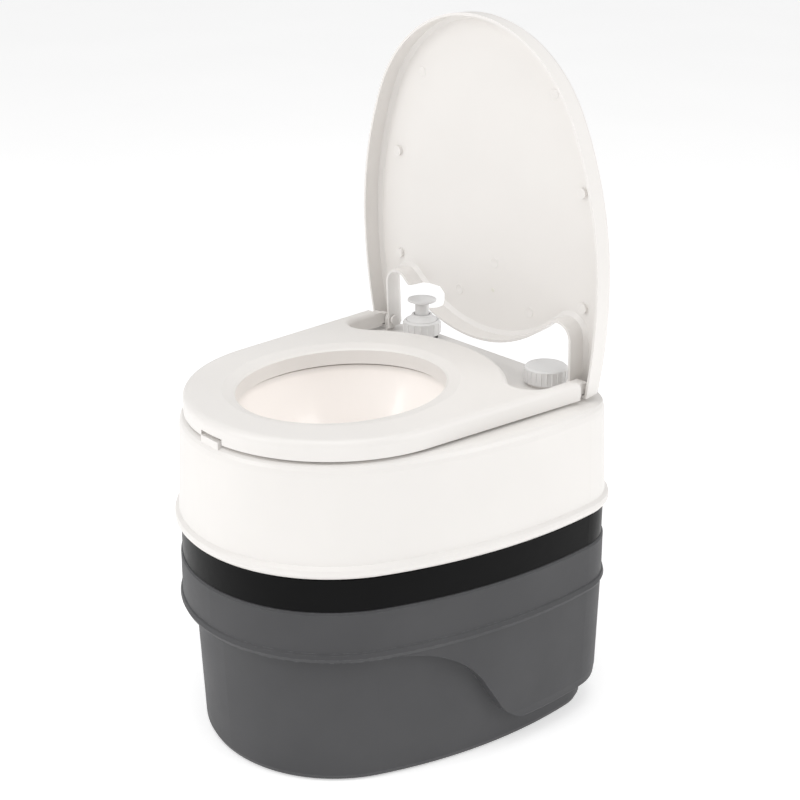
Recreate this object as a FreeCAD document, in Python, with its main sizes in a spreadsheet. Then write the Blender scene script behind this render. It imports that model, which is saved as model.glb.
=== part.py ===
import FreeCAD, Part
import math
import os
import Sketcher
from FreeCAD import Placement, Rotation, Vector

# Portable cassette toilet, in millimetres. +Z is up and the front faces -Y.
# The origin is on the floor, in the middle of the footprint.
# The lid is modelled shut and turned open about its hinge; the seat lies down.

doc = FreeCAD.newDocument("portable_toilet")
sheet = doc.addObject("Spreadsheet::Sheet", "sizes")


class Size:
    """A length: its value, and the formula in sheet names that it comes from."""

    def __init__(self, value, text=None):
        self.value = float(value)
        self.text = text or repr(float(value))

    def __add__(self, other):
        other = as_size(other)
        return Size(self.value + other.value, "(%s + %s)" % (self.text, other.text))

    def __sub__(self, other):
        other = as_size(other)
        return Size(self.value - other.value, "(%s - %s)" % (self.text, other.text))

    def __mul__(self, other):
        other = as_size(other)
        return Size(self.value * other.value, "(%s * %s)" % (self.text, other.text))

    def __truediv__(self, other):
        other = as_size(other)
        return Size(self.value / other.value, "(%s / %s)" % (self.text, other.text))

    def __radd__(self, other):
        return as_size(other) + self

    def __rsub__(self, other):
        return as_size(other) - self

    def __rmul__(self, other):
        return as_size(other) * self

    def __neg__(self):
        return Size(-self.value, "(-1 * %s)" % self.text)


def as_size(value):
    return value if isinstance(value, Size) else Size(value)


def root(value):
    """Square root of a Size."""
    return Size(math.sqrt(value.value), "sqrt(%s)" % value.text)


def cell(alias, value, note):
    """Put one driving dimension in the sheet and hand it back as a Size."""
    cell.row += 1
    sheet.set("A%d" % cell.row, note)
    sheet.set("B%d" % cell.row, str(value))
    sheet.setAlias("B%d" % cell.row, alias)
    return Size(value, "sizes.%s" % alias)


cell.row = 0

# ---- driving dimensions -------------------------------------------------

# plan outline shared by both tanks: front arc, side arcs, rear corners, rear wall
rim_half_width = cell("rim_half_width", 184.0, "half width over the white rim bead")
side_radius = cell("side_radius", 502.3, "radius of the side arcs")
side_widest = cell("side_widest", 97.1, "where along Y the sides are widest")
front_radius = cell("front_radius", 155.5, "radius of the front arc")
corner_radius = cell("corner_radius", 69.3, "radius of the rear corners")
rear_wall = cell("rear_wall", 196.0, "rear wall over the rim bead")

# heights
wing_low = cell("wing_low", 28.4, "underside of the side wings")
belt_low = cell("belt_low", 139.5, "lower edge of the grey belt")
base_top = cell("base_top", 191.4, "top of the grey holding tank")
deck_top = cell("deck_top", 224.9, "top of the black valve deck")
white_low = cell("white_low", 225.2, "underside of the white upper tank")
white_top = cell("white_top", 332.0, "deck of the white upper tank")
seat_low = cell("seat_low", 334.6, "underside of the seat")
seat_top = cell("seat_top", 353.0, "top of the seat")
wall = cell("wall", 3.5, "moulded wall of the tanks")

# seat and bowl
seat_front = cell("seat_front", -182.6, "front of the seat")
seat_radius = cell("seat_radius", 142.7, "radius of the seat's front arc")
seat_half_width = cell("seat_half_width", 154.7, "half width of the seat at its arms")
arm_inner = cell("arm_inner", 139.5, "inner side of a seat arm")
arm_rear = cell("arm_rear", 136.0, "rear end of a seat arm")
ring_radius = cell("ring_radius", 150.0, "radius of the seat ring's rear edge")
ring_centre = cell("ring_centre", -19.0, "centre of that arc along Y")
pocket_radius = cell("pocket_radius", 22.0, "corner between ring and arm")
opening_centre = cell("opening_centre", -29.9, "centre of the seat opening along Y")
opening_long = cell("opening_long", 106.4, "half the opening's length")
opening_wide = cell("opening_wide", 91.8, "half the opening's width")
outlet_centre = cell("outlet_centre", 5.0, "centre of the bowl outlet along Y")
outlet_radius = cell("outlet_radius", 43.0, "radius of the bowl outlet")

# hinge and lid
hinge_y = cell("hinge_y", 151.0, "hinge axis along Y")
hinge_z = cell("hinge_z", 342.5, "hinge axis height")
pin_radius = cell("pin_radius", 3.0, "radius of the hinge pins")
running_gap = cell("running_gap", 0.05, "radial clearance round a pin")
pin_head = cell("pin_head", 5.2, "radius of a hinge pin's head")
pin_tip = cell("pin_tip", 151.6, "where along X a hinge pin ends")
lug_radius = cell("lug_radius", 5.2, "radius of the hinge lugs on the deck")
knuckle_radius = cell("knuckle_radius", 5.2, "radius of the seat's hinge eyes")
slot_gap = cell("slot_gap", 0.7, "room for a lug in the lid's slot")
lid_lean = cell("lid_lean", 87.6, "angle of the open lid from shut, in degrees")
lid_front = cell("lid_front", -188.2, "front of the shut lid")
lid_half_width = cell("lid_half_width", 165.7, "half width of the lid")
lid_side_radius = cell("lid_side_radius", 360.0, "side arcs ahead of the widest place")
lid_rear_radius = cell("lid_rear_radius", 528.7, "side arcs behind the widest place")
lid_front_radius = cell("lid_front_radius", 145.0, "radius of the lid's front arc")
lid_low = cell("lid_low", 335.9, "rim of the shut lid")
lid_depth = cell("lid_depth", 23.5, "depth of the lid's skirt")
lid_wall = cell("lid_wall", 2.6, "wall of the lid")
lobe_radius = cell("lobe_radius", 156.0, "rear lobe of the lid")
leg_inner = cell("leg_inner", 130.5, "inner side of a lid leg")
arch_radius = cell("arch_radius", 15.0, "corner between lobe and leg")
leg_rear = cell("leg_rear", 160.0, "rear end of a lid leg")

# things that stand on the deck
pump_x = cell("pump_x", -93.0, "pump along X")
pump_y = cell("pump_y", 158.5, "pump along Y")
cap_x = cell("cap_x", 93.0, "filler cap along X")
cap_y = cell("cap_y", 154.0, "filler cap along Y")
cap_radius = cell("cap_radius", 22.2, "radius of the filler cap")
cap_top = cell("cap_top", 349.5, "top of the filler cap")
collar_radius = cell("collar_radius", 20.4, "radius of the pump's collar nut")
knob_radius = cell("knob_radius", 15.5, "radius of the pump knob")
knob_top = cell("knob_top", 373.0, "top of the pump knob")
bite_x = cell("bite_x", -85.0, "finger notch in the open lid along X")
bite_y = cell("bite_y", 155.0, "finger notch in the open lid along Y")
bite_radius = cell("bite_radius", 23.0, "radius of the finger notch")
bite_low = cell("bite_low", 348.0, "bottom of the finger notch cutter")
bite_top = cell("bite_top", 391.0, "top of the finger notch")

# valve
blade_low = cell("blade_low", 201.0, "underside of the valve blade")
blade_thick = cell("blade_thick", 2.6, "thickness of the valve blade")
blade_half = cell("blade_half", 51.0, "half width of the valve blade")
blade_rear = cell("blade_rear", -46.0, "edge of the blade on the handle's side")
blade_front = cell("blade_front", 47.0, "edge of the blade on the other side")
tongue_end = cell("tongue_end", -66.3, "end of the blade's tongue, outside the plates")
tongue_half = cell("tongue_half", 9.0, "half width of that tongue")
rod_y = cell("rod_y", 20.0, "valve rod and handle along Y")
rod_radius = cell("rod_radius", 3.0, "radius of the valve rod")

# spout
spout_x = cell("spout_x", -88.0, "swivel of the pour-out spout along X")
spout_y = cell("spout_y", 171.0, "swivel of the pour-out spout along Y")
spout_axis = cell("spout_axis", 167.5, "height of the spout's tube")
spout_radius = cell("spout_radius", 17.0, "outer radius of the spout's tube")
spout_bore = cell("spout_bore", 13.5, "bore of the spout")
recess_low = cell("recess_low", 142.0, "floor of the spout's recess")

# latch and vent
latch_pivot_y = cell("latch_pivot_y", 189.5, "latch pivot along Y")
latch_pivot_z = cell("latch_pivot_z", 206.0, "latch pivot height")
vent_x = cell("vent_x", 97.0, "vent button along X")
vent_z = cell("vent_z", 171.0, "vent button height")

doc.recompute()

# ---- helpers --------------------------------------------------------------


def bind(thing, path, value):
    """Tie a property of an object, or a constraint of a sketch, to the sheet."""
    thing.setExpression(path, as_size(value).text)


def new_body(label):
    body = doc.addObject("PartDesign::Body", label)
    body.Label = label
    return body


def sketch_on(body, name, role, level=None):
    """A sketch on one of the body's own origin planes, lifted to level."""
    sketch = body.newObject("Sketcher::SketchObject", name)
    plane = [item for item in body.Origin.OriginFeatures if item.Role == role][0]
    sketch.AttachmentSupport = (plane, [""])
    sketch.MapMode = "FlatFace"
    if level is not None:
        sketch.AttachmentOffset = Placement(Vector(0, 0, as_size(level).value), Rotation())
        bind(sketch, "AttachmentOffset.Base.z", level)
    return sketch


def fix_point(sketch, geometry, end, x, y):
    """Hold one end of a curve at (x, y)."""
    for kind, axis, value in (("DistanceX", -2, x), ("DistanceY", -1, y)):
        value = as_size(value)
        if abs(value.value) < 1e-7:
            sketch.addConstraint(Sketcher.Constraint("PointOnObject", geometry, end, axis))
        else:
            rule = sketch.addConstraint(Sketcher.Constraint(kind, -1, 1, geometry, end, value.value))
            bind(sketch, "Constraints[%d]" % rule, value)


def draw_path(sketch, points):
    """Closed outline through (x, y) or (x, y, radius of the arc to the next point).

    A positive radius turns left of the way the path runs, a negative one right.
    """
    first = sketch.GeometryCount
    count = len(points)
    start_end = []
    for index, point in enumerate(points):
        here = Vector(as_size(point[0]).value, as_size(point[1]).value, 0)
        after = points[(index + 1) % count]
        there = Vector(as_size(after[0]).value, as_size(after[1]).value, 0)
        radius = as_size(point[2]) if len(point) > 2 else None
        if radius is None:
            sketch.addGeometry(Part.LineSegment(here, there), False)
            start_end.append((1, 2))
            continue
        size = abs(radius.value)
        chord = there - here
        rise = math.sqrt(max(size ** 2 - (chord.Length / 2) ** 2, 0.0))
        left = Vector(-chord.y, chord.x, 0).normalize()
        if radius.value > 0:
            middle = (here + there) / 2 + left * rise
            begin, finish = here, there
            start_end.append((1, 2))
        else:
            middle = (here + there) / 2 - left * rise
            begin, finish = there, here
            start_end.append((2, 1))
        angles = [math.atan2(p.y - middle.y, p.x - middle.x) for p in (begin, finish)]
        circle = Part.Circle(middle, Vector(0, 0, 1), size)
        sketch.addGeometry(Part.ArcOfCircle(circle, angles[0], angles[1]), False)
    for index in range(count):
        after = (index + 1) % count
        sketch.addConstraint(Sketcher.Constraint(
            "Coincident", first + index, start_end[index][1], first + after, start_end[after][0]))
    for index, point in enumerate(points):
        fix_point(sketch, first + index, start_end[index][0], point[0], point[1])
        if len(point) > 2:
            radius = as_size(point[2])
            size = radius if radius.value > 0 else -radius
            rule = sketch.addConstraint(Sketcher.Constraint("Radius", first + index, size.value))
            bind(sketch, "Constraints[%d]" % rule, size)


def draw_circle(sketch, x, y, radius):
    radius = as_size(radius)
    centre = Vector(as_size(x).value, as_size(y).value, 0)
    index = sketch.addGeometry(Part.Circle(centre, Vector(0, 0, 1), radius.value), False)
    fix_point(sketch, index, 3, x, y)
    rule = sketch.addConstraint(Sketcher.Constraint("Radius", index, radius.value))
    bind(sketch, "Constraints[%d]" % rule, radius)


def mirrored(points):
    """Right half of an outline, from the front centre to the rear, made whole.

    Each point is (x, y) or (x, y, radius); the first and last lie on x = 0.
    """
    whole = list(points[:-1])
    rear = points[-1]
    back = [rear]
    back += [point for point in reversed(points[1:-1])]
    for index, point in enumerate(back):
        following = points[len(points) - 2 - index]
        x = -as_size(point[0]) if abs(as_size(point[0]).value) > 1e-7 else point[0]
        place = (x, point[1])
        if len(following) > 2:
            place += (following[2],)
        whole.append(place)
    return whole


def pad(body, sketch, length):
    feature = body.newObject("PartDesign::Pad", "pad")
    feature.Profile = sketch
    feature.Length = as_size(length).value
    bind(feature, "Length", length)
    return feature


def pocket(body, sketch, length, upward=False, midplane=False):
    """Cut below the sketch, above it, or on both sides of it."""
    feature = body.newObject("PartDesign::Pocket", "pocket")
    feature.Profile = sketch
    feature.Length = as_size(length).value
    bind(feature, "Length", length)
    feature.Reversed = upward
    feature.Midplane = midplane
    return feature


def loft(body, sketches, cutting=False):
    kind = "PartDesign::SubtractiveLoft" if cutting else "PartDesign::AdditiveLoft"
    feature = body.newObject(kind, "loft")
    feature.Profile = sketches[0]
    feature.Sections = [(sketch, [""]) for sketch in sketches[1:]]
    feature.Ruled = True
    return feature


def place(thing, x=0, y=0, z=0, turn=None):
    """Set a thing's placement and tie its position to the sheet."""
    base = Vector(*(as_size(value).value for value in (x, y, z)))
    thing.Placement = Placement(base, turn or Rotation())
    for axis, value in zip("xyz", (x, y, z)):
        if isinstance(value, Size):
            bind(thing, "Placement.Base.%s" % axis, value)
    return thing


TURNS = {
    "Z": Rotation(),
    "X": Rotation(Vector(0, 1, 0), 90),
    "-X": Rotation(Vector(0, 1, 0), -90),
    "Y": Rotation(Vector(1, 0, 0), -90),
}


def turned(label, profile, x=0, y=0, z=0, axis="Z"):
    """A round part: the profile (radius, height) turned about its own axis."""
    body = new_body(label)
    sketch = sketch_on(body, label + "_profile", "XZ_Plane")
    draw_path(sketch, profile)
    feature = body.newObject("PartDesign::Revolution", "turn")
    feature.Profile = sketch
    feature.ReferenceAxis = (sketch, ["V_Axis"])
    feature.Angle = 360
    return place(body, x, y, z, TURNS[axis])


def ring(inner, outer, low, high):
    """Profile of a plain ring or, with no bore, of a disc."""
    return [(inner, low), (outer, low), (outer, high), (inner, high)]


def box(label, low, high):
    """A block between two corners given as Sizes or numbers."""
    block = doc.addObject("Part::Box", label)
    for name, a, b in zip(("Length", "Width", "Height"), low, high):
        span = as_size(b) - as_size(a)
        setattr(block, name, span.value)
        bind(block, name, span)
    return place(block, *(as_size(value) for value in low))


def cut(label, base, *tools):
    result = doc.addObject("Part::Cut", label)
    result.Base = base
    result.Tool = tools[0] if len(tools) == 1 else fuse(label + "_tools", *tools)
    result.Label = label
    return result


def fuse(label, *parts):
    result = doc.addObject("Part::MultiFuse", label)
    result.Shapes = list(parts)
    result.Label = label
    return result


def edges_where(shape, test):
    """Names of the edges whose middle passes a test."""
    names = []
    for index, edge in enumerate(shape.Edges):
        if test(edge.valueAt((edge.FirstParameter + edge.LastParameter) / 2), edge):
            names.append("Edge%d" % (index + 1))
    return names


def round_edges(body, radius, test):
    """Fillet the body's edges that pass the test."""
    doc.recompute()
    names = edges_where(body.Shape, test)
    base = body.Tip
    feature = body.newObject("PartDesign::Fillet", "round")
    feature.Base = (base, names)
    feature.Radius = as_size(radius).value
    bind(feature, "Radius", radius)
    return feature


# ---- tank outline ---------------------------------------------------------


def tank_outline(grow):
    """Plan outline of the tanks, grown outward by grow (negative is inward)."""
    grow = as_size(grow)
    lever = side_radius - rim_half_width
    join = side_radius - front_radius
    reach = root(join * join - lever * lever)
    front_centre = side_widest - reach
    corner_y = rear_wall - corner_radius
    corner_join = side_radius - corner_radius
    corner_rise = corner_y - side_widest
    corner_x = root(corner_join * corner_join - corner_rise * corner_rise) - lever
    side = side_radius + grow
    front = front_radius + grow
    corner = corner_radius + grow
    front_join = (lever / join * front, front_centre - reach / join * front)
    rear_join = (corner_x + (corner_x + lever) / corner_join * corner,
                 corner_y + corner_rise / corner_join * corner)
    return mirrored([
        (0, front_centre - front, front),
        front_join + (side,),
        rear_join + (corner,),
        (corner_x, rear_wall + grow),
        (0, rear_wall + grow),
    ])


def lofted_tank(label, sections):
    """A tank shape through (height, growth) sections."""
    body = new_body(label)
    sketches = []
    for height, grow in sections:
        sketch = sketch_on(body, label + "_section", "XY_Plane", height)
        draw_path(sketch, tank_outline(grow))
        sketches.append(sketch)
    loft(body, sketches)
    return body


nodes = {}


def keep(thing):
    """Name a finished piece as one of the toilet's sub-parts."""
    nodes[thing.Label] = thing
    return thing

# ---- grey holding tank ------------------------------------------------------


def make_holding_tank():
    """Blow-moulded tank: tapered tub, raised rear wings, belt and upper band."""
    tub = lofted_tank("tank_tub", [
        (0, -25.5), (2, -22.2), (7, -19.9), (belt_low - 6, -15.5), (belt_low, -5.0),
        (belt_low + 1.5, -2.4), (belt_low + 5.0, -0.9), (belt_low + 9.0, -1.9),
        (belt_low + 10.5, -3.2), (base_top - 3, -3.6), (base_top - 0.9, -4.6), (base_top, -6.6)])

    # the wings: the belt's outline carried down behind an S-shaped edge
    wing = lofted_tank("tank_wing", [
        (wing_low, -9.0), (wing_low + 3, -6.2), (wing_low + 12, -5.2), (belt_low + 2, -3.6)])
    tall, hollow, lean = 113.0, 55.0, math.radians(56)
    top_y, foot_y = -95.0, 66.6
    along, drop = math.sin(lean), 1 - math.cos(lean)
    edge = sketch_on(wing, "wing_edge", "YZ_Plane")
    draw_path(edge, [
        (-260, 0), (260, 0), (260, wing_low), (foot_y, wing_low, -hollow),
        (foot_y - hollow * along, wing_low + hollow * drop),
        (top_y + tall * along, belt_low - tall * drop, tall),
        (top_y, belt_low), (-260, belt_low)])
    pocket(wing, edge, 600, midplane=True)

    cavity = lofted_tank("tank_cavity", [
        (wall, -19.9 - 5.5 - wall), (8, -19.9 - wall), (belt_low - 4, -15.5 - wall),
        (belt_low + 6, -3.6 - wall), (base_top - wall, -3.6 - wall)])
    spout_room = box("spout_room", (-118.5, 142.5, recess_low - wall), (78.5, 210, base_top))
    hollow_space = cut("tank_hollow", cavity, spout_room)
    recess = box("spout_recess", (-115, 146, recess_low), (75, 210, base_top + 5))
    neck = turned("spout_neck", ring(spout_bore - 0.5, 16.0, recess_low - wall, recess_low + 8),
                  spout_x, spout_y)
    neck_bore = turned("spout_neck_bore", ring(0, spout_bore - 0.5, recess_low - 2 * wall, base_top),
                       spout_x, spout_y)
    inlet = turned("tank_inlet", ring(0, outlet_radius + 1, base_top - 2 * wall, base_top + 5),
                   0, outlet_centre)
    vent_bore = turned("tank_vent_bore", ring(0, 9.05, -30, 10), vent_x, rear_wall - 4, vent_z, "Y")
    shell = cut("tank_shell", fuse("tank_outer", tub, wing), hollow_space, recess, inlet, vent_bore)
    keep(cut("holding_tank", fuse("tank_with_neck", shell, neck), neck_bore))


# ---- black valve deck --------------------------------------------------------


def make_valve_deck():
    """The black band: a tray on the holding tank that carries the slide valve."""
    outer = lofted_tank("deck_outer", [(base_top, -5.2), (deck_top - 2, -5.2), (deck_top, -6.4)])
    tray = lofted_tank("deck_tray", [(base_top + 4, -9.4), (deck_top + 5, -9.4)])
    grip_block = box("grip_block", (-165, -16, base_top), (-140, 56, deck_top))
    latch_block = box("latch_block", (-31, 176, base_top), (31, 196, deck_top))
    hollow_space = cut("deck_hollow", tray, grip_block, latch_block)
    grip_recess = box("grip_recess", (-200, -12, base_top + 5), (-143.5, 52, deck_top - 3))
    latch_recess = box("latch_recess", (-27, 182.5, base_top - 5), (27, 210, deck_top + 5))
    inlet = turned("deck_inlet", ring(0, outlet_radius + 1, base_top - 5, base_top + 10),
                   0, outlet_centre)
    rod_bore = turned("deck_rod_bore", ring(0, rod_radius + 0.08, -30, 30),
                      -140, rod_y, blade_low + blade_thick / 2, "X")
    tongue_slot = box("deck_tongue_slot", (-146, rod_y - tongue_half - 0.6, blade_low - 0.4),
                      (-139, rod_y + tongue_half + 0.6, blade_low + blade_thick + 0.4))
    pin_bore = turned("deck_latch_bore", ring(0, 2.02, -29.5, 29.5),
                      0, latch_pivot_y, latch_pivot_z, "X")
    keep(cut("valve_deck", outer, hollow_space, grip_recess, latch_recess, inlet,
             rod_bore, tongue_slot, pin_bore))


def make_valve():
    """Slide valve: base plate, blade with rod and handle, cover, seal and screws."""
    middle = blade_low + blade_thick / 2
    for name, low, high in (("valve_base", base_top + 4, blade_low - 0.5),
                            ("valve_cover", blade_low + blade_thick + 0.5, blade_low + 8.5)):
        body = new_body(name)
        plan = sketch_on(body, name + "_plan", "XY_Plane", low)
        half_x, half_y = 66.0, 62.0
        draw_path(plan, [(-half_x, outlet_centre - half_y), (half_x, outlet_centre - half_y),
                         (half_x, outlet_centre + half_y), (-half_x, outlet_centre + half_y)])
        draw_circle(plan, 0, outlet_centre, outlet_radius + 1)
        for x in (-58, 58):
            for y in (-55, 55):
                draw_circle(plan, x, outlet_centre + y, 2.1)
        pad(body, plan, high - low)
        keep(body)

    blade = box("blade_plate", (blade_rear, outlet_centre - blade_half, blade_low),
                (blade_front, outlet_centre + blade_half, blade_low + blade_thick))
    tongue = box("blade_tongue", (tongue_end, rod_y - tongue_half, blade_low),
                 (blade_rear, rod_y + tongue_half, blade_low + blade_thick))
    keep(fuse("valve_blade", blade, tongue))

    grip_face = -154
    rod_length = tongue_end - 0.05 - grip_face
    keep(turned("valve_rod", ring(0, rod_radius, 0, rod_length), grip_face, rod_y, middle, "X"))
    keep(turned("valve_seal", ring(outlet_radius + 1.6, outlet_radius + 4.4, 0, 0.4),
                0, outlet_centre, blade_low + blade_thick + 0.05))

    grip = new_body("valve_handle")
    plan = sketch_on(grip, "handle_plan", "XY_Plane", middle - 5)
    outer_x, half_y = grip_face - 10, 27
    draw_path(plan, [(outer_x, rod_y - half_y), (grip_face, rod_y - half_y),
                     (grip_face, rod_y + half_y), (outer_x, rod_y + half_y)])
    pad(grip, plan, 13)
    mid_x = (outer_x + grip_face) / 2
    round_edges(grip, 4, lambda p, edge: abs(p.x - mid_x) > 4.9
                and abs(edge.Vertexes[0].Z - edge.Vertexes[1].Z) < 1)
    keep(grip)

    screws = []
    for x in (-58, 58):
        for y in (-55, 55):
            head = blade_low + 8.5
            screws.append(turned("valve_screw_%d" % (len(screws) + 1),
                                 [(0, base_top + 4.4), (1.9, base_top + 4.4), (1.9, head + 0.05),
                                  (4.0, head + 0.05), (4.0, head + 1.5), (3.0, head + 2.4), (0, head + 2.4)],
                                 x, outlet_centre + y))
    keep(fuse("valve_screws", *screws))


def make_latch():
    """Over-centre lever at the rear that holds the two halves together."""
    lever = new_body("latch_lever")
    side = sketch_on(lever, "latch_side", "YZ_Plane")
    y, z = latch_pivot_y, latch_pivot_z
    draw_path(side, [
        (y - 4, z - 4), (y + 5.5, z - 11), (y + 5.5, z + 38), (y + 2.5, z + 41),
        (y - 2.2, z + 38), (y - 2.2, z + 36.5), (y + 1.5, z + 34), (y + 1.5, z + 5), (y - 4, z + 5)])
    plate = lever.newObject("PartDesign::Pad", "pad")
    plate.Profile = side
    plate.Length = 50
    plate.Midplane = True
    bore = sketch_on(lever, "latch_bore", "YZ_Plane")
    draw_circle(bore, y, z, 2.0 + running_gap)
    pocket(lever, bore, 80, midplane=True)
    keep(lever)
    keep(turned("latch_pin", ring(0, 2.0, -29, 29), 0, y, z, "X"))


# ---- pour-out spout and vent ---------------------------------------------------


def make_spout():
    """Elbow that swivels out of its recess, with a screw cap on its end."""
    low = recess_low + 9.2
    reach = 114.0
    post = turned("spout_post", ring(0, 20.0, low, spout_axis + 17), spout_x, spout_y)
    arm = turned("spout_arm", ring(0, spout_radius, 0, reach), spout_x, spout_y, spout_axis, "X")
    stop = turned("spout_stop", ring(0, 19.0, reach - 25, reach - 22), spout_x, spout_y, spout_axis, "X")
    down = turned("spout_down_bore", ring(0, spout_bore, low - 5, spout_axis), spout_x, spout_y)
    along = turned("spout_along_bore", ring(0, spout_bore, 0, reach + 5),
                   spout_x, spout_y, spout_axis, "X")
    relief = turned("spout_relief", ring(0, 24, low - 10, low), spout_x, spout_y)
    keep(cut("spout", fuse("spout_outer", post, arm, stop), down, along, relief))
    keep(turned("spout_ring", ring(16.1, 21.5, recess_low, recess_low + 6.5), spout_x, spout_y))
    keep(turned("spout_seal", ring(13.4, 15.6, recess_low + 8.05, low - 0.3), spout_x, spout_y))
    thread = 20.0
    cap = turned("spout_cap_shell",
                 [(0, reach + 1.4), (spout_radius + 0.35, reach + 1.4),
                  (spout_radius + 0.35, reach - thread), (19.4, reach - thread),
                  (19.4, reach + 3), (18.2, reach + 4.2), (0, reach + 4.2)],
                 spout_x, spout_y, spout_axis, "X")
    ribs = [turned("spout_cap_rib_%d" % turn,
                   ring(0, 1.1, reach - thread + 1, reach + 2),
                   spout_x, spout_y + 19.2 * math.cos(math.radians(turn)),
                   spout_axis + 19.2 * math.sin(math.radians(turn)), "X")
            for turn in range(0, 360, 30)]
    keep(fuse("spout_cap", cap, *ribs))
    keep(turned("spout_cap_seal", ring(0, 16.0, reach + 0.1, reach + 1.2),
                spout_x, spout_y, spout_axis, "X"))


def make_vent():
    """Spring-returned vent button in a sleeve through the tank's rear wall."""
    face = rear_wall - 3.1
    keep(turned("vent_sleeve",
                [(3.2, -18), (8.9, -18), (8.9, 0), (10.6, 0), (10.6, 1.2), (9.8, 1.6), (6.8, 1.6),
                 (6.8, -16), (3.2, -16)],
                vent_x, face, vent_z, "Y"))
    keep(turned("vent_button",
                [(0, -22), (2.9, -22), (2.9, -5), (6.4, -5), (6.4, 2.0), (5.6, 2.7), (0, 2.7)],
                vent_x, face, vent_z, "Y"))
    keep(turned("vent_seal", ring(3.0, 5.4, -19.6, -18.2), vent_x, face, vent_z, "Y"))
    bellows("vent_boot", 4.4, 6.0, -15.8, -5.2, 2, vent_x, face, vent_z, "Y")


def bellows(label, inner, outer, low, high, folds, *where):
    """A corrugated rubber sleeve that pushes a button or knob back."""
    skin = 1.1
    step = (as_size(high) - low) / (2 * folds)
    crests = [(outer if index % 2 else inner, low + index * step) for index in range(2 * folds + 1)]
    inside = [(radius - skin, height) for radius, height in reversed(crests)]
    keep(turned(label, crests + inside, *where))


# ---- white upper tank with its bowl ----------------------------------------------


def ellipse(label, across, along, y, z):
    """Level oval, across along X by along along Y."""
    curve = doc.addObject("Part::Ellipse", label)
    long_way, short_way = (along, across) if along.value >= across.value else (across, along)
    curve.MajorRadius = long_way.value
    curve.MinorRadius = short_way.value
    bind(curve, "MajorRadius", long_way)
    bind(curve, "MinorRadius", short_way)
    return place(curve, 0, y, z, Rotation(Vector(0, 0, 1), 90))


def bowl_shape(label, grow, extra, foot):
    """Funnel from the seat's oval down to the round outlet."""
    wide, deep = opening_wide + grow, opening_long + grow
    rings = [
        (wide + 4, deep + 4, opening_centre, white_top + extra),
        (wide + 1, deep + 1, opening_centre, white_top - 14),
        (wide - 14, deep - 20, opening_centre + 6, white_top - 52),
        (wide - 38, deep - 52, opening_centre + 26, white_top - 84),
        (outlet_radius + grow + 0.6, outlet_radius + grow + 0.61, outlet_centre, white_low + foot)]
    shape = doc.addObject("Part::Loft", label)
    shape.Sections = [ellipse("%s_oval_%d" % (label, index), *one) for index, one in enumerate(rings)]
    shape.Solid = True
    shape.Ruled = False
    shape.Closed = False
    return shape


def make_upper_tank():
    """Double-walled flush-water tank with the bowl moulded in."""
    outer = lofted_tank("upper_outer", [
        (white_low, -5.6), (white_low + 1.0, -2.4), (white_low + 3.6, -0.3), (white_low + 6.4, 0),
        (white_low + 9.6, -0.9), (white_low + 11.6, -3.1), (white_low + 12.6, -4.3),
        (white_top - 10, -8.8), (white_top - 5.5, -9.8), (white_top - 2.4, -11.7),
        (white_top - 0.7, -14.6), (white_top, -18.0)])
    slope = sketch_on(outer, "deck_slope", "YZ_Plane")
    draw_path(slope, [(118, white_top), (205, white_top - 6.1), (205, white_top + 5), (118, white_top + 5)])
    pocket(outer, slope, 600, midplane=True)
    cavity = lofted_tank("upper_cavity", [
        (white_low + wall, -8.6), (white_low + 13, -4.3 - wall), (white_top - 9, -9.2 - wall),
        (white_top - 6 - wall, -12.5 - wall)])
    funnel_outer = bowl_shape("funnel_outer", as_size(3.2), 0.6, -0.6)
    funnel_inner = bowl_shape("funnel_inner", as_size(0), 0.7, 4.0)
    outlet_lip = turned("outlet_lip", ring(0, outlet_radius + 3.2, white_low - 7, white_low + 3),
                        0, outlet_centre)
    outlet_bore = turned("outlet_bore", ring(0, outlet_radius, white_low - 10, white_low + 4.4),
                         0, outlet_centre)
    hollow_space = cut("upper_hollow", cavity, funnel_outer)
    pump_hole = turned("pump_hole", ring(0, 15.4, white_top - 30, white_top + 20), pump_x, pump_y)
    fill_neck = turned("fill_neck", ring(0, 18.4, white_top - 12, white_top + 10.5), cap_x, cap_y)
    fill_hole = turned("fill_hole", ring(0, 15.4, white_top - 30, white_top + 20), cap_x, cap_y)
    latch_notch = box("latch_notch", (-27, 182.5, white_low - 1), (27, 210, white_low + 30))
    latch_back = box("latch_back", (-31, 178, white_low), (31, 186, white_low + 34))
    keeper = box("latch_keeper", (-20, 182, white_low + 6), (20, latch_pivot_y - 1.2, white_low + 13))
    catch = box("front_catch", (-13, -184.2, white_top - 6), (13, -178.2, white_top + 4.6))
    lugs = []
    for side in (-1, 1):
        near, far = sorted((side * 135.0, side * 138.9))
        lugs.append(box("lug_block", (near, hinge_y - lug_radius, white_top - 9),
                        (far, hinge_y + lug_radius, hinge_z)))
        lugs.append(turned("lug_eye", ring(0, lug_radius, near, far), 0, hinge_y, hinge_z, "X"))
    pin_hole = turned("lug_pin_hole", ring(0, pin_radius + 0.02, -170, 170),
                      0, hinge_y, hinge_z, "X")
    solid = fuse("upper_solid", cut("upper_shell", outer, hollow_space), outlet_lip,
                 fill_neck, latch_back, catch, *lugs)
    opened = cut("upper_opened", solid, funnel_inner, outlet_bore, pump_hole, fill_hole,
                 latch_notch, pin_hole)
    keep(fuse("upper_tank", opened, keeper))
    keep(turned("outlet_seal", [
        (outlet_radius + 3.3, white_low - 13.4), (outlet_radius + 6, white_low - 14.6),
        (outlet_radius + 6.6, white_low - 14.0), (outlet_radius + 6.2, white_low),
        (outlet_radius + 3.3, white_low)], 0, outlet_centre))


# ---- filler cap and flush pump ------------------------------------------------------


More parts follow.
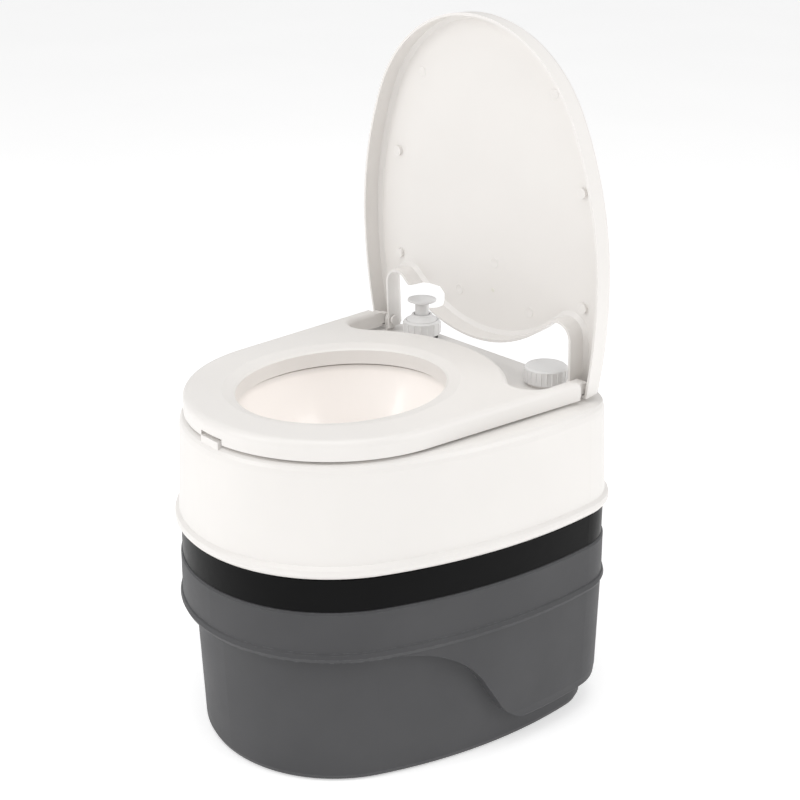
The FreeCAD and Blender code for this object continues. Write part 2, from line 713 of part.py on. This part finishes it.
def ribbed(label, shell, count, radius, low, high, x, y, rib):
    """A round nut or cap with small upright ribs round its side."""
    ribs = [turned("%s_rib_%d" % (label, index), ring(0, rib, low, high),
                   x + radius * math.cos(2 * math.pi * index / count),
                   y + radius * math.sin(2 * math.pi * index / count))
            for index in range(count)]
    return keep(fuse(label, shell, *ribs))


def make_filler():
    low = cap_top - 15.5
    shell = turned("filler_cap_shell", [
        (0, cap_top - 3), (18.9, cap_top - 3), (18.9, low), (cap_radius - 0.8, low),
        (cap_radius - 0.8, cap_top - 1.4), (cap_radius - 2.2, cap_top), (0, cap_top)], cap_x, cap_y)
    ribbed("filler_cap", shell, 24, cap_radius - 0.9, low + 0.6, cap_top - 2.0, cap_x, cap_y, 0.9)
    keep(turned("filler_seal", ring(13.0, 18.4, white_top + 10.8, cap_top - 3.05), cap_x, cap_y))


def make_pump():
    """Push pump: threaded neck, collar nut, cover, knob, spring and tubes."""
    base = white_top - 1.2
    nut_low, nut_high = base + 4.5, base + 19.5
    keep(turned("pump_neck", [
        (12.6, base - 12), (15.2, base - 12), (15.2, base), (17.6, base), (17.6, base + 3.6),
        (16.4, base + 4.4), (16.4, nut_high - 4), (12.6, nut_high - 4)], pump_x, pump_y))
    shell = turned("pump_collar_shell", [
        (16.8, nut_low), (collar_radius - 0.8, nut_low), (collar_radius - 0.8, nut_high - 1.6),
        (collar_radius - 2.4, nut_high), (16.8, nut_high)], pump_x, pump_y)
    ribbed("pump_collar", shell, 16, collar_radius - 1.0, nut_low + 0.5, nut_high - 2.0, pump_x, pump_y, 1.1)
    keep(turned("pump_cover", [
        (8.6, nut_high - 3.6), (16.4, nut_high - 3.6), (16.4, nut_high + 0.4), (11.4, nut_high + 5.0),
        (10.8, nut_high + 6.4), (8.6, nut_high + 6.4)], pump_x, pump_y))
    keep(turned("pump_knob", [
        (0, knob_top - 58), (7.4, knob_top - 58), (7.4, knob_top - 5.2), (knob_radius - 5, knob_top - 3.6),
        (knob_radius, knob_top - 1.6), (knob_radius, knob_top), (knob_radius - 1.4, knob_top + 0.2),
        (0, knob_top - 1.6)], pump_x, pump_y))
    keep(turned("pump_barrel", [
        (0, base - 80), (14.6, base - 80), (14.6, base - 12.3), (11.8, base - 12.3),
        (11.8, base - 77.5), (0, base - 77.5)], pump_x, pump_y))
    keep(turned("pump_piston", [
        (0, knob_top - 64), (11.3, knob_top - 64), (11.3, knob_top - 58.2), (0, knob_top - 58.2)],
        pump_x, pump_y))
    bellows("pump_bellows", 8.0, 11.0, base - 77.3, knob_top - 64.2, 5, pump_x, pump_y)
    keep(turned("suction_tube", ring(2.6, 4.2, white_low + 6, base - 80.2), pump_x, pump_y))
    hose = doc.addObject("Part::Feature", "flush_tube")
    start = Vector(pump_x.value + 14.7, pump_y.value - 10, base.value - 60)
    corner = Vector(-20, 122, base.value - 60)
    finish = Vector(0, opening_centre.value + opening_long.value + 12, base.value - 21)
    hose.Shape = bent_tube([start, corner, finish], 30, 3.4, 2.4)
    hose.Label = "flush_tube"
    keep(hose)
    keep(turned("flush_nozzle", ring(2.6, 5.4, -2, 2),
                0, opening_centre + opening_long + 7.1, base - 20.5, "Y"))


def bent_tube(points, bend, outer, inner):
    """A tube along straight runs joined by one round bend."""
    before = (points[1] - points[0]).normalize()
    after = (points[2] - points[1]).normalize()
    half = before.getAngle(after) / 2
    back = bend * math.tan(half)
    enter = points[1] - before * back
    leave = points[1] + after * back
    inward = (after - before).normalize()
    middle = points[1] + inward * (bend / math.cos(half) - bend)
    path = Part.Wire([Part.LineSegment(points[0], enter).toShape(),
                      Part.Arc(enter, middle, leave).toShape(),
                      Part.LineSegment(leave, points[2]).toShape()])
    tubes = [path.makePipeShell([Part.Wire(Part.Circle(points[0], before, radius).toShape())], True, True)
             for radius in (outer, inner)]
    return tubes[0].cut(tubes[1])


# ---- seat, lid and hinge ---------------------------------------------------------------


def make_seat():
    """Moulded ring on two arms, with a knuckle behind each arm."""
    seat = new_body("seat_body")
    front_centre = seat_front + seat_radius
    across, along = seat_half_width.value, arm_rear.value - front_centre.value
    flare = math.acos(seat_radius.value / math.hypot(across, along)) - math.atan2(along, across)
    join = (seat_radius * math.cos(flare), front_centre - seat_radius * math.sin(flare))
    lever = arm_inner - pocket_radius
    span = ring_radius + pocket_radius
    rise = root(span * span - lever * lever)
    pocket_y = ring_centre + rise
    touch = (lever / span * ring_radius, ring_centre + rise / span * ring_radius)
    plan = sketch_on(seat, "seat_plan", "XY_Plane", seat_low)
    draw_path(plan, mirrored([
        (0, seat_front, seat_radius),
        join,
        (seat_half_width, arm_rear),
        (arm_inner, arm_rear),
        (arm_inner, pocket_y, -pocket_radius),
        touch + (ring_radius,),
        (0, ring_centre + ring_radius)]))
    pad(seat, plan, seat_top - seat_low)
    top = seat_top.value
    round_edges(seat, 6.4, lambda p, edge: abs(p.z - top) < 0.01)

    # hollow underside, open downward, between an outer and an inner skirt
    skirt = 3.0
    under = sketch_on(seat, "seat_under", "XY_Plane", seat_low)
    draw_path(under, mirrored([
        (0, seat_front + 4 + skirt, seat_radius - 4 - skirt),
        ((seat_radius - 4 - skirt) * math.cos(flare), join[1] + 0.3),
        (130.0, 60.0),
        (112.0, 68.0),
        (95.0, 78.0, ring_radius - 10),
        (0, ring_centre + ring_radius - skirt - 7)]))
    under_hole = add_oval(under, opening_wide + 17, opening_long + 13)
    pocket(seat, under_hole, seat_top - seat_low - 6, upward=True)

    arms = []
    for side in (-1, 1):
        near, far = sorted((side * 139.7, side * 149.5))
        arms.append(box("knuckle_web", (near, arm_rear - 4, hinge_z - 7.5),
                        (far, hinge_y - 7.8, hinge_z + 7.5)))
        arms.append(box("knuckle_neck", (near, arm_rear, hinge_z - knuckle_radius),
                        (far, hinge_y, hinge_z + knuckle_radius)))
        arms.append(turned("knuckle_eye", ring(0, knuckle_radius, near, far),
                           0, hinge_y, hinge_z, "X"))
    pin_hole = turned("seat_pin_hole", ring(0, pin_radius + running_gap, -170, 170),
                      0, hinge_y, hinge_z, "X")
    tab_notch = box("tab_notch", (-15.5, -200, seat_low - 1), (15.5, -176.5, seat_low + 5.5))
    hole = oval_hole("seat_hole")
    keep(cut("seat", fuse("seat_with_arms", seat, *arms), hole, pin_hole, tab_notch))
    pads = [turned("seat_pad_%d" % (index + 1), ring(0, 5, white_top + 0.4, seat_top - 6), x, y)
            for index, (x, y) in enumerate(((-108, -100), (108, -100), (-122, 20), (122, 20)))]
    keep(fuse("seat_bumpers", *pads))


def add_oval(sketch, across, along):
    """Add a level oval round the seat's opening to a sketch."""
    across, along = as_size(across), as_size(along)
    centre = Vector(0, opening_centre.value, 0)
    tip = centre + Vector(0, along.value, 0)
    side = centre + Vector(across.value, 0, 0)
    sketch.addGeometry(Part.Ellipse(tip, side, centre), False)
    return sketch


def oval_hole(label):
    """The seat's opening: straight sides below, a wide bevel above."""
    shape = doc.addObject("Part::Loft", label)
    wide, deep = opening_wide, opening_long
    rings = [(wide, deep, seat_low - 2), (wide, deep, seat_top - 4.0),
             (wide + 2.0, deep + 2.0, seat_top - 2.6), (wide + 17, deep + 12.5, seat_top + 0.4)]
    shape.Sections = [ellipse("%s_%d" % (label, index), across, along, opening_centre, height)
                      for index, (across, along, height) in enumerate(rings)]
    shape.Solid = True
    shape.Ruled = True
    return shape


def lid_outline(grow):
    """Plan outline of the shut lid, grown outward by grow."""
    grow = as_size(grow)
    front_y = lid_front + lid_front_radius
    lever = lid_side_radius - lid_half_width
    join = lid_side_radius - lid_front_radius
    reach = root(join * join - lever * lever)
    widest = front_y + reach
    front = lid_front_radius + grow
    side = lid_side_radius + grow
    rear = lid_rear_radius + grow
    rear_lever = lid_rear_radius - lid_half_width
    rear_y = leg_rear + grow
    rise = rear_y - widest
    rear_x = root(rear * rear - rise * rise) - rear_lever
    inner = leg_inner - grow
    corner = arch_radius - grow
    span = lobe_radius + arch_radius
    across = leg_inner + (-arch_radius)
    climb = root(span * span - across * across)
    lobe = lobe_radius + grow
    return mirrored([
        (0, front_y - front, front),
        (lever / join * front, front_y - reach / join * front, side),
        (lid_half_width + grow, widest, rear),
        (rear_x, rear_y),
        (inner, rear_y),
        (inner, ring_centre + climb, -corner),
        (across / span * lobe, ring_centre + climb / span * lobe, lobe),
        (0, ring_centre + lobe)])


def make_lid():
    """Deep-skirted lid with two hollow legs and a finger notch by the pump, turned open about the hinge."""
    lid = new_body("lid_outer")
    levels = [(lid_low, 0), (lid_low + lid_depth - 7, -0.9), (lid_low + lid_depth - 3, -2.8),
              (lid_low + lid_depth - 0.9, -5.2), (lid_low + lid_depth, -9.0)]
    sketches = []
    for height, grow in levels:
        sketch = sketch_on(lid, "lid_section", "XY_Plane", height)
        draw_path(sketch, lid_outline(grow))
        sketches.append(sketch)
    loft(lid, sketches)
    recess = new_body("lid_recess")
    sketches = []
    for height, grow in ((lid_low - 1, -lid_wall), (lid_low + lid_depth - 6, -lid_wall - 0.3),
                         (lid_low + lid_depth - lid_wall, -lid_wall - 4.5)):
        sketch = sketch_on(recess, "recess_section", "XY_Plane", height)
        draw_path(sketch, lid_outline(grow))
        sketches.append(sketch)
    loft(recess, sketches)
    pin_hole = turned("lid_pin_hole", ring(0, pin_radius + running_gap, -150, 150),
                      0, hinge_y, hinge_z, "X")
    slots = []
    for side in (-1, 1):
        near, far = sorted((side * 134.3, side * 139.6))
        slots.append(box("lug_slot", (near, hinge_y + pin_radius, lid_low - 1),
                         (far, leg_rear + 3, hinge_z + lug_radius + slot_gap)))
    lid_shut = cut("lid_shut", lid, recess, pin_hole, *slots)
    roof = lid_low + lid_depth - lid_wall
    places = [(side * x, y) for x, y in ((128, -34), (131, 78)) for side in (-1, 1)]
    pads = [turned("lid_pad_%d" % (index + 1), ring(0, 5.0, seat_top + 0.4, roof), x, y)
            for index, (x, y) in enumerate(places)]
    pads_shut = fuse("lid_bumpers", *pads)
    relief = turned("knob_relief", [
        (0, bite_low), (bite_radius, bite_low), (bite_radius, bite_top - 6),
        (bite_radius - 6, bite_top), (0, bite_top)], bite_x, bite_y)
    lid_open = cut("lid", open_up(lid_shut), relief)
    for piece in (lid_open, open_up(pads_shut)):
        keep(piece)


def open_up(piece):
    """Turn a piece from shut to open about the hinge axis."""
    turn = Rotation(Vector(1, 0, 0), -lid_lean.value)
    hinge = Vector(0, hinge_y.value, hinge_z.value)
    piece.Placement = Placement(hinge - turn.multVec(hinge), turn)
    return piece


def make_hinge_pins():
    for side, name in ((-1, "hinge_pin_left"), (1, "hinge_pin_right")):
        profile = [(0, side * 127.4), (pin_head, side * 127.4), (pin_head, side * 129.6),
                   (pin_radius, side * 129.6), (pin_radius, pin_tip * side), (0, pin_tip * side)]
        keep(turned(name, profile, 0, hinge_y, hinge_z, "X"))


# ---- build, check and export -------------------------------------------------------------

for make in (make_holding_tank, make_valve_deck, make_valve, make_latch, make_spout, make_vent,
             make_upper_tank, make_filler, make_pump, make_seat, make_lid, make_hinge_pins):
    make()
doc.recompute()

faults = ["%s %s" % (item.Name, item.State) for item in doc.Objects
          if "Invalid" in item.State or "Error" in item.State]
for name, piece in nodes.items():
    if piece.Shape.isNull() or not piece.Shape.isValid() or not piece.Shape.Solids:
        faults.append(name + " has no valid solid")
if faults:
    raise RuntimeError("; ".join(faults))

os.makedirs("parts", exist_ok=True)
for name, piece in sorted(nodes.items()):
    shape = piece.Shape
    shape.exportStep("parts/%s.step" % name)
    span = shape.BoundBox
    print("%-18s solids %d volume %9.0f  x %.1f..%.1f y %.1f..%.1f z %.1f..%.1f" % (
        name, len(shape.Solids), shape.Volume, span.XMin, span.XMax,
        span.YMin, span.YMax, span.ZMin, span.ZMax))
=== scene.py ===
"""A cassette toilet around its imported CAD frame: finishes, marks in the lid, soft studio light and camera.

The front is towards -Y, the hinge is at the rear and the floor is z = 0. Places are in metres, except
those of the marks in the lid, which are in millimetres on the shut lid.
"""

import math

import bpy
from mathutils import Matrix, Vector


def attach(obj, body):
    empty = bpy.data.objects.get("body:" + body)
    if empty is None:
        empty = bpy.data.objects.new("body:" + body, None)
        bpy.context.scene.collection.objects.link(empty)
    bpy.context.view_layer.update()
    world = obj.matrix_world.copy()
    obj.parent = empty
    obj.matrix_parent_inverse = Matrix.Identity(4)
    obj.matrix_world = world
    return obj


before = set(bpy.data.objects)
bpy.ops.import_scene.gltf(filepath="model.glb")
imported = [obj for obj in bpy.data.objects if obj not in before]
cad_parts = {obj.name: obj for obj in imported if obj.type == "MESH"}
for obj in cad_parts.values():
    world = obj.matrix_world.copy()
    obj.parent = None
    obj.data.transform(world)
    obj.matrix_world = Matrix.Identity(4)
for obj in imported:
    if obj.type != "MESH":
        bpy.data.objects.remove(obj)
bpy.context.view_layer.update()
MM = 0.001
COAT_ROUGHNESS = 0.1


# ---------------------------------------------------------------- finishes


class Finish:
    """A node material on one Principled shader, built up a layer at a time."""

    def __init__(self, name, roughness, specular=0.5):
        self.material = bpy.data.materials.new(name)
        self.material.use_nodes = True
        self.tree = self.material.node_tree
        self.shader = self.tree.nodes["Principled BSDF"]
        self.shader.inputs["Roughness"].default_value = roughness
        self.shader.inputs["Specular IOR Level"].default_value = specular
        self.shader.inputs["Coat Roughness"].default_value = COAT_ROUGHNESS
        self.place = self.node("ShaderNodeTexCoord").outputs["Object"]

    def node(self, kind, **settings):
        made = self.tree.nodes.new(kind)
        for name, value in settings.items():
            setattr(made, name, value)
        return made

    def link(self, source, target):
        self.tree.links.new(source, target)

    def noise(self, size, detail=2.0, roughness=0.5, stretch=None):
        """Noise whose blobs are about size metres across; stretch is a scale for each axis."""
        place = self.place
        if stretch:
            mapping = self.node("ShaderNodeMapping")
            mapping.inputs["Scale"].default_value = stretch
            self.link(self.place, mapping.inputs["Vector"])
            place = mapping.outputs["Vector"]
        made = self.node("ShaderNodeTexNoise")
        made.inputs["Scale"].default_value = 1.0 / size
        made.inputs["Detail"].default_value = detail
        made.inputs["Roughness"].default_value = roughness
        self.link(place, made.inputs["Vector"])
        return made.outputs["Fac"]

    def spread(self, value, low, high, from_low=0.3, from_high=0.7):
        """value mapped onto low..high."""
        made = self.node("ShaderNodeMapRange")
        made.inputs["From Min"].default_value = from_low
        made.inputs["From Max"].default_value = from_high
        made.inputs["To Min"].default_value = low
        made.inputs["To Max"].default_value = high
        self.link(value, made.inputs["Value"])
        return made.outputs["Result"]

    def mix(self, share, first, second):
        """Two colours mixed by share; each is a colour or the output of a node."""
        made = self.node("ShaderNodeMix", data_type="RGBA")
        self.link(share, made.inputs["Factor"])
        for value, socket in ((first, made.inputs["A"]), (second, made.inputs["B"])):
            if isinstance(value, tuple):
                socket.default_value = value
            else:
                self.link(value, socket)
        return made.outputs["Result"]

    def edges(self, width, samples=4):
        """1 along edges and 0 on open surfaces, from how far a rounded normal leans off the surface's own."""
        rounded = self.node("ShaderNodeBevel", samples=samples)
        rounded.inputs["Radius"].default_value = width
        own = self.node("ShaderNodeNewGeometry")
        lean = self.node("ShaderNodeVectorMath", operation="DOT_PRODUCT")
        self.link(rounded.outputs["Normal"], lean.inputs[0])
        self.link(own.outputs["Normal"], lean.inputs[1])
        return self.spread(lean.outputs["Value"], 1.0, 0.0, 0.9, 0.995)

    def bump(self, layers):
        """Stacks (height, depth in metres) layers into the shader's normal."""
        below = None
        for height, depth in layers:
            made = self.node("ShaderNodeBump")
            made.inputs["Distance"].default_value = depth
            self.link(height, made.inputs["Height"])
            if below:
                self.link(below, made.inputs["Normal"])
            below = made.outputs["Normal"]
        self.link(below, self.shader.inputs["Normal"])

    def colour(self, source):
        self.link(source, self.shader.inputs["Base Color"])

    def rough(self, source):
        self.link(source, self.shader.inputs["Roughness"])


def moulded(name, pale, deep, worn, roughness, grain, grain_depth, peel_depth, sheen_gap=0.06, **extra):
    """Moulded plastic: a cloudy tint, a spark-eroded grain, faint flow waves and paler, scuffed edges."""
    made = Finish(name, roughness, **extra)
    cloud = made.spread(made.noise(0.09, 3.0), 0.0, 1.0)
    tint = made.mix(cloud, deep, pale)
    edge = made.edges(1.1 * MM)
    patchy = made.spread(made.noise(0.006, 3.0, 0.6), 0.0, 1.0, 0.42, 0.62)
    wear = made.node("ShaderNodeMath", operation="MULTIPLY")
    made.link(edge, wear.inputs[0])
    made.link(patchy, wear.inputs[1])
    made.colour(made.mix(wear.outputs["Value"], tint, worn))
    half = sheen_gap / 2
    made.rough(made.spread(made.noise(0.03, 4.0, 0.6), roughness - half, roughness + half))
    fine = made.noise(grain, 2.0, 0.55)
    peel = made.noise(0.011, 1.0, 0.4)
    made.bump([(peel, peel_depth), (fine, grain_depth)])
    return made


WHITE = moulded(
    "white_moulding", (0.82, 0.796, 0.77, 1), (0.8, 0.776, 0.75, 1), (0.88, 0.86, 0.84, 1),
    0.36, 0.0007, 0.00004, 0.00012,
)

# Where the bowl's painted glow and extra gloss lie and how strong they are: the bowl's middle, the reach and
# rim heights where they fade out, the glow's most emission and the most coat.
BOWL_CENTRE = (0.0, -0.012, 0.0)
BOWL_EDGE = (0.108, 0.122)
BOWL_RIM_HEIGHT = (0.326, 0.333)
BOWL_LIGHT = 0.2
BOWL_GLOSS = 0.6


def bowl_glow(made):
    """Inside the bowl the white is glossier and carries a painted glow: faint emission stands in for light
    bounced inside the bowl and passed through its thin wall.
    """
    parts = made.node("ShaderNodeSeparateXYZ")
    made.link(made.place, parts.inputs["Vector"])
    flat = made.node("ShaderNodeCombineXYZ")
    made.link(parts.outputs["X"], flat.inputs["X"])
    made.link(parts.outputs["Y"], flat.inputs["Y"])
    reach = made.node("ShaderNodeVectorMath", operation="DISTANCE")
    made.link(flat.outputs["Vector"], reach.inputs[0])
    reach.inputs[1].default_value = BOWL_CENTRE
    near = made.spread(reach.outputs["Value"], 1.0, 0.0, *BOWL_EDGE)
    low = made.spread(parts.outputs["Z"], 1.0, 0.0, *BOWL_RIM_HEIGHT)
    inside = made.node("ShaderNodeMath", operation="MULTIPLY")
    made.link(near, inside.inputs[0])
    made.link(low, inside.inputs[1])
    # Painted glow: a warm emission inside the bowl, not a lamp, in place of light bounced there and passed
    # through the wall.
    made.shader.inputs["Emission Color"].default_value = (1.0, 0.885, 0.83, 1.0)
    for most, socket in ((BOWL_LIGHT, "Emission Strength"), (BOWL_GLOSS, "Coat Weight")):
        made.link(made.spread(inside.outputs["Value"], 0.0, most, 0.0, 1.0), made.shader.inputs[socket])


# The white moulding carries the painted glow inside the bowl.
bowl_glow(WHITE)
GREY = moulded(
    "grey_moulding", (0.074, 0.074, 0.077, 1), (0.064, 0.064, 0.067, 1), (0.13, 0.13, 0.135, 1),
    0.52, 0.0008, 0.00009, 0.0001, specular=0.22,
)
BLACK = moulded(
    "black_moulding", (0.005, 0.005, 0.0052, 1), (0.0038, 0.0038, 0.004, 1), (0.022, 0.022, 0.023, 1),
    0.34, 0.0007, 0.00005, 0.00012, specular=0.07,
)
LIGHT_GREY = moulded(
    "light_grey_moulding", (0.79, 0.782, 0.775, 1), (0.76, 0.752, 0.745, 1), (0.84, 0.832, 0.826, 1),
    0.4, 0.0006, 0.00004, 0.00006,
)
NATURAL = moulded(
    "natural_moulding", (0.78, 0.76, 0.7, 1), (0.74, 0.72, 0.66, 1), (0.82, 0.8, 0.76, 1),
    0.42, 0.0006, 0.00004, 0.00006,
)
RUBBER = moulded(
    "seal_rubber_finish", (0.03, 0.03, 0.031, 1), (0.022, 0.022, 0.023, 1), (0.07, 0.07, 0.07, 1),
    0.62, 0.0004, 0.00004, 0.00004,
)


def steel_finish():
    """Drawn steel wire: fine lines along X and slightly uneven gloss."""
    made = Finish("steel_finish", 0.28)
    made.shader.inputs["Metallic"].default_value = 1.0
    lines = made.noise(0.0004, 2.0, 0.5, stretch=(0.03, 1.0, 1.0))
    made.colour(made.mix(made.spread(lines, 0.0, 1.0), (0.52, 0.53, 0.54, 1), (0.66, 0.66, 0.66, 1)))
    made.rough(made.spread(made.noise(0.004, 3.0), 0.22, 0.36))
    made.bump([(lines, 0.00003)])
    return made


STEEL = steel_finish()

FINISH_OF = {
    "white_plastic": WHITE,
    "light_grey_plastic": LIGHT_GREY,
    "grey_plastic": GREY,
    "black_plastic": BLACK,
    "natural_plastic": NATURAL,
    "seal_rubber": RUBBER,
    "bright_steel": STEEL,
}
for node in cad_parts.values():
    for slot in node.material_slots:
        slot.material = FINISH_OF[slot.material.name.split(".")[0]].material


# ---------------------------------------------------------------- pieces


# The hinge axis, the lid's turn from shut to open and the shut lid's inner face, in millimetres.
HINGE = Vector((0.0, 151.0, 342.5))
OPEN_TURN = Matrix.Rotation(math.radians(-87.6), 3, "X")
LID_ROOF = 356.8


def mesh_object(name, points, faces, material):
    mesh = bpy.data.meshes.new(name)
    mesh.from_pydata(points, [], faces)
    mesh.update()
    made = bpy.data.objects.new(name, mesh)
    bpy.context.scene.collection.objects.link(made)
    mesh.materials.append(material)
    return made


def opened(across, along, drop):
    """A point that far below the shut lid's inner face, turned open with the lid and given in metres."""
    shut = Vector((across, along, LID_ROOF - drop))
    return (HINGE + OPEN_TURN @ (shut - HINGE)) * MM


def lathe(name, profile, across, along, material, sides=48):
    """A turned piece on the lid's inner face; profile is (radius, drop) pairs from rim to middle, in mm."""
    points, faces = [], []
    for radius, drop in profile[:-1]:
        for step in range(sides):
            turn = 2 * math.pi * step / sides
            side, ahead = radius * math.cos(turn), radius * math.sin(turn)
            points.append(opened(across + side, along + ahead, drop))
    points.append(opened(across, along, profile[-1][1]))
    for ring in range(len(profile) - 2):
        for step in range(sides):
            after = (step + 1) % sides
            low, high = ring * sides, (ring + 1) * sides
            faces.append((low + step, high + step, high + after, low + after))
    last = (len(profile) - 2) * sides
    for step in range(sides):
        faces.append((last + step, len(points) - 1, last + (step + 1) % sides))
    made = mesh_object(name, points, faces, material)
    made.data.polygons.foreach_set("use_smooth", [True] * len(made.data.polygons))
    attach(made, "lid_shell")


PIN_MARK = [(5.6, -0.2), (5.5, 0.28), (5.1, 0.4), (4.7, 0.3), (4.4, 0.16), (0, 0.12)]
MARK_PLACES = [(-90.0, -120.0), (90.0, -120.0), (-41.0, 99.0), (59.0, 100.0), (10.5, 59.4)]
for index, (across, along) in enumerate(MARK_PLACES):
    lathe("ejector_mark_%d" % (index + 1), PIN_MARK, across, along, WHITE.material)
GATE_MARK = [(2.3, -0.2), (2.2, 0.2), (1.6, 0.45), (0.9, 0.3), (0, 0.25)]
lathe("gate_mark", GATE_MARK, 8.3, 88.6, NATURAL.material, 24)


# ---------------------------------------------------------------- stage, light and camera


def floor_finish():
    """Pale floor, lit a little from within so that it stays white round the object."""
    made = Finish("floor_finish", 0.7, specular=0.1)
    cloud = made.spread(made.noise(0.5, 2.0), 0.0, 1.0)
    made.colour(made.mix(cloud, (0.93, 0.93, 0.93, 1), (0.95, 0.95, 0.95, 1)))
    made.shader.inputs["Emission Color"].default_value = (1.0, 1.0, 1.0, 1.0)
    made.shader.inputs["Emission Strength"].default_value = 0.4
    return made.material


FLOOR_HALF = 60.0
floor = mesh_object(
    "studio_floor",
    [(x * FLOOR_HALF, y * FLOOR_HALF, 0) for x, y in ((-1, -1), (1, -1), (1, 1), (-1, 1))],
    [(0, 1, 2, 3)],
    floor_finish(),
)

world = bpy.data.worlds.new("studio")
bpy.context.scene.world = world
world.use_nodes = True
world.node_tree.nodes["Background"].inputs["Color"].default_value = (1.0, 1.0, 1.0, 1.0)
world.node_tree.nodes["Background"].inputs["Strength"].default_value = 0.55


def from_azimuth(azimuth, elevation, distance, centre):
    """The place at that compass angle (0 in front, 90 on the +X side), height angle and distance."""
    across, up = math.radians(azimuth), math.radians(elevation)
    way = Vector((math.sin(across) * math.cos(up), -math.cos(across) * math.cos(up), math.sin(up)))
    return centre + way * distance


MIDDLE = Vector((0.0, 0.0, 0.3))


def softbox(name, azimuth, elevation, distance, width, height, power):
    """A square-on area light that looks at the middle of the object."""
    light = bpy.data.lights.new(name, "AREA")
    light.shape = "RECTANGLE"
    light.size = width
    light.size_y = height
    light.energy = power
    made = bpy.data.objects.new(name, light)
    bpy.context.scene.collection.objects.link(made)
    made.location = from_azimuth(azimuth, elevation, distance, MIDDLE)
    made.rotation_mode = "QUATERNION"
    made.rotation_quaternion = (MIDDLE - made.location).to_track_quat("-Z", "Y")


softbox("left_softbox", -14, 30, 2.2, 1.0, 1.5, 14)
softbox("right_softbox", 114, 28, 2.2, 1.0, 1.5, 12)
softbox("top_softbox", 30, 80, 2.4, 1.8, 1.8, 17)

camera_data = bpy.data.cameras.new("camera")
camera_data.sensor_width = 36.0
camera_data.lens = 66.14
camera_data.clip_start = 0.01
camera_data.clip_end = 200.0
camera = bpy.data.objects.new("camera", camera_data)
bpy.context.scene.collection.objects.link(camera)
CAMERA_TARGET = Vector((-7.87, 50.79, 309.96)) * MM
camera.location = from_azimuth(48.21, 21.46, 1469.4 * MM, CAMERA_TARGET)
camera.rotation_mode = "QUATERNION"
camera.rotation_quaternion = (CAMERA_TARGET - camera.location).to_track_quat("-Z", "Y")
bpy.context.scene.camera = camera
bpy.context.scene.view_settings.view_transform = "Standard"
